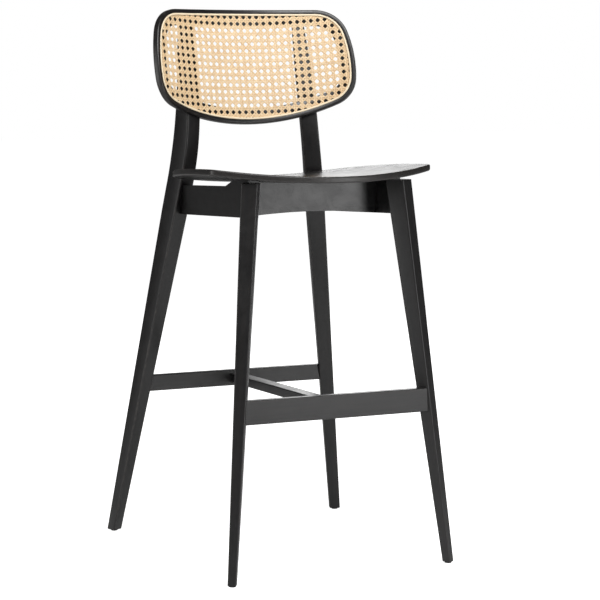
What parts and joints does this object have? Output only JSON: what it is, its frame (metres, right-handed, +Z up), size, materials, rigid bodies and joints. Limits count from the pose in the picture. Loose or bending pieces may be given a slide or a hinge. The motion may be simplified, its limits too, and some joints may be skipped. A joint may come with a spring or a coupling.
{
  "type": "bar stool with footrest",
  "caption": "Tall bar stool with splayed tapered wooden legs, a front footrest rail, a dished plywood seat and a low curved back panel of woven cane.",
  "frame": {"origin": "on the floor, in the middle of the rectangle round the four feet", "axes": "+Z up, +Y towards the back of the stool (the sitter faces -Y), +X to the right of someone facing the back from the front"},
  "size_m": [0.5438, 0.5837, 1.088],
  "materials": {
    "lacquered_wood": "satin black lacquer over beech",
    "seat_lacquer": "satin black lacquer over moulded plywood",
    "cane": "natural woven rattan cane, clear and slightly glossy",
    "cane_reed": "natural peeled reed",
    "bare_beech": "unfinished turned beech",
    "screw_steel": "zinc-plated steel",
    "glide_plastic": "black nylon"
  },
  "bodies": {
    "root": {"seat_panel": "seat_lacquer", "front_leg_left": "lacquered_wood", "front_leg_right": "lacquered_wood", "rear_leg_left": "lacquered_wood", "rear_leg_right": "lacquered_wood", "front_apron": "lacquered_wood", "rear_apron": "lacquered_wood", "side_apron_left": "lacquered_wood", "side_apron_right": "lacquered_wood", "footrest_stretcher": "lacquered_wood", "rear_stretcher": "lacquered_wood", "centre_stretcher": "lacquered_wood", "corner_block_front_left": "lacquered_wood", "corner_block_front_right": "lacquered_wood", "corner_block_rear_left": "lacquered_wood", "corner_block_rear_right": "lacquered_wood", "seat_bearer_left": "lacquered_wood", "seat_bearer_right": "lacquered_wood", "back_frame": "lacquered_wood", "cane_panel": "cane", "cane_spline": "cane_reed", "apron_dowels": "bare_beech", "stretcher_dowels": "bare_beech", "seat_screws": "screw_steel", "corner_block_screws": "screw_steel", "back_lower_screws": "screw_steel", "back_upper_screws": "screw_steel", "glide_nails": "screw_steel", "back_screw_plugs": "lacquered_wood", "glide_pads": "glide_plastic"}
  },
  "joints": []
}
